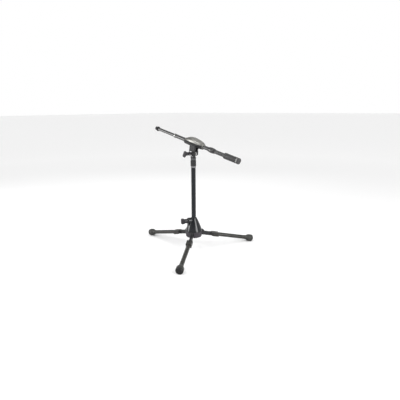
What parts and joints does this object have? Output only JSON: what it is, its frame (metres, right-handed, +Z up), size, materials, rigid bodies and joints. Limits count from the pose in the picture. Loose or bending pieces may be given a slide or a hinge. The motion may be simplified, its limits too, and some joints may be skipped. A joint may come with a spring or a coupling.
{
  "type": "desktop microphone stand",
  "caption": "Low tripod microphone stand: cone base with folding legs, telescopic column and a tilting, sliding, telescopic boom with counterweight.",
  "frame": {"origin": "on the floor under the column's axis, between the three feet", "axes": "+Z up along the column; the boom lies in the XZ plane with its microphone end towards -X and its counterweight towards +X; the tilt axis is along Y"},
  "size_m": [0.5183, 0.5028, 0.5206],
  "materials": {
    "cone_paint": "gloss black enamel",
    "hub_paint": "satin black enamel on a casting",
    "cup_plastic": "fine matte grain",
    "zinc_steel": "zinc plated",
    "brass_pad": "turned",
    "knob_plastic": "satin moulded",
    "column_paint": "semi-gloss black powder coat",
    "nylon": "natural nylon",
    "ring_grey": "satin grey",
    "grip_plastic": "ribbed satin",
    "rod_steel": "polished plating",
    "nut_metal": "black nickel, knurled",
    "post_paint": "satin black enamel",
    "clamp_paint": "satin black enamel",
    "cover_paint": "satin warm grey",
    "hook_plastic": "moulded nylon",
    "boom_paint": "semi-gloss black powder coat",
    "bush_metal": "turned",
    "weight_iron": "satin black enamel",
    "thread_steel": "blackened",
    "collar_plastic": "satin moulded",
    "knuckle_paint": "satin black enamel",
    "leg_paint": "semi-gloss black powder coat",
    "foot_rubber": "matte moulded rubber"
  },
  "bodies": {
    "base": {"base_cone": "cone_paint", "leg_hub": "hub_paint", "base_cup": "cup_plastic", "cup_screw": "zinc_steel", "column_socket": "zinc_steel", "thrust_pad": "brass_pad", "hinge_pin_right": "thread_steel", "hinge_pin_left": "thread_steel", "hinge_pin_front": "thread_steel"},
    "base_knob": {"base_knob": "knob_plastic", "base_knob_screw": "zinc_steel"},
    "column": {"column_tube": "column_paint", "column_plug": "nylon", "column_ring": "ring_grey", "clutch_collet": "nylon"},
    "clutch_sleeve": {"clutch_sleeve": "grip_plastic", "clutch_insert": "brass_pad"},
    "inner_rod": {"inner_rod": "rod_steel", "rod_guide": "nylon", "rod_stud": "zinc_steel", "lock_nut": "nut_metal"},
    "boom_head": {"swivel_post": "post_paint", "friction_discs": "nylon"},
    "boom_clamp": {"clamp_jaw": "clamp_paint", "clamp_cover": "cover_paint", "cover_screw": "zinc_steel", "clamp_liner": "nylon", "pivot_nut": "zinc_steel", "cable_hook": "hook_plastic"},
    "tilt_handle": {"tilt_handle": "knob_plastic", "tilt_bolt": "zinc_steel", "tilt_washer": "zinc_steel"},
    "boom": {"boom_tube": "boom_paint", "boom_bush": "bush_metal", "counterweight": "weight_iron", "counterweight_ring": "bush_metal", "counterweight_cap": "weight_iron"},
    "boom_extension": {"extension_tube": "boom_paint", "extension_guide": "nylon", "mic_thread": "thread_steel", "thread_flange": "thread_steel"},
    "stop_collar": {"stop_collar": "collar_plastic", "collar_screw": "zinc_steel"},
    "leg_right": {"leg_knuckle_right": "knuckle_paint", "leg_tube_right": "leg_paint", "foot_right": "foot_rubber"},
    "leg_left": {"leg_knuckle_left": "knuckle_paint", "leg_tube_left": "leg_paint", "foot_left": "foot_rubber"},
    "leg_front": {"leg_knuckle_front": "knuckle_paint", "leg_tube_front": "leg_paint", "foot_front": "foot_rubber"}
  },
  "joints": [
    {"name": "leg_right_fold", "type": "hinge", "parent": "base", "child": "leg_right", "pos_m": [0.0439, 0.07604, 0.05661], "axis": [-0.866, 0.5, 0], "range_deg": [0, 77]},
    {"name": "leg_left_fold", "type": "hinge", "parent": "base", "child": "leg_left", "pos_m": [-0.0878, 0, 0.05661], "axis": [0, -1, 0], "range_deg": [0, 77]},
    {"name": "leg_front_fold", "type": "hinge", "parent": "base", "child": "leg_front", "pos_m": [0.0439, -0.07604, 0.05661], "axis": [0.866, 0.5, 0], "range_deg": [0, 77]},
    {"name": "base_knob_turn", "type": "hinge", "parent": "base", "child": "base_knob", "pos_m": [-0.02, -0.03464, 0.127], "axis": [-0.5, -0.866, 0], "continuous": true},
    {"name": "column_turn", "type": "hinge", "parent": "base", "child": "column", "pos_m": [0, 0, 0.1], "axis": [0, 0, 1], "continuous": true},
    {"name": "clutch_twist", "type": "hinge", "parent": "column", "child": "clutch_sleeve", "pos_m": [0, 0, 0.375], "axis": [0, 0, 1], "range_deg": [0, 180]},
    {"name": "height_slide", "type": "slide", "parent": "column", "child": "inner_rod", "axis": [0, 0, 1], "range_m": [0, 0.2]},
    {"name": "head_pan", "type": "hinge", "parent": "inner_rod", "child": "boom_head", "pos_m": [0, 0, 0.4], "axis": [0, 0, 1], "continuous": true},
    {"name": "boom_tilt", "type": "hinge", "parent": "boom_head", "child": "boom_clamp", "pos_m": [0, 0, 0.417], "axis": [0, 1, 0], "range_deg": [-64, 76]},
    {"name": "tilt_handle_turn", "type": "hinge", "parent": "boom_clamp", "child": "tilt_handle", "pos_m": [0, -0.03, 0.417], "axis": [0, -1, 0], "continuous": true},
    {"name": "boom_slide", "type": "slide", "parent": "boom_clamp", "child": "boom", "axis": [-0.9703, 0, 0.2419], "range_m": [-0.057, 0.0285]},
    {"name": "boom_extend", "type": "slide", "parent": "boom", "child": "boom_extension", "axis": [-0.9703, 0, 0.2419], "range_m": [-0.1, 0.144]},
    {"name": "collar_slide", "type": "slide", "parent": "boom", "child": "stop_collar", "axis": [-0.9703, 0, 0.2419], "range_m": [-0.048, 0]}
  ]
}
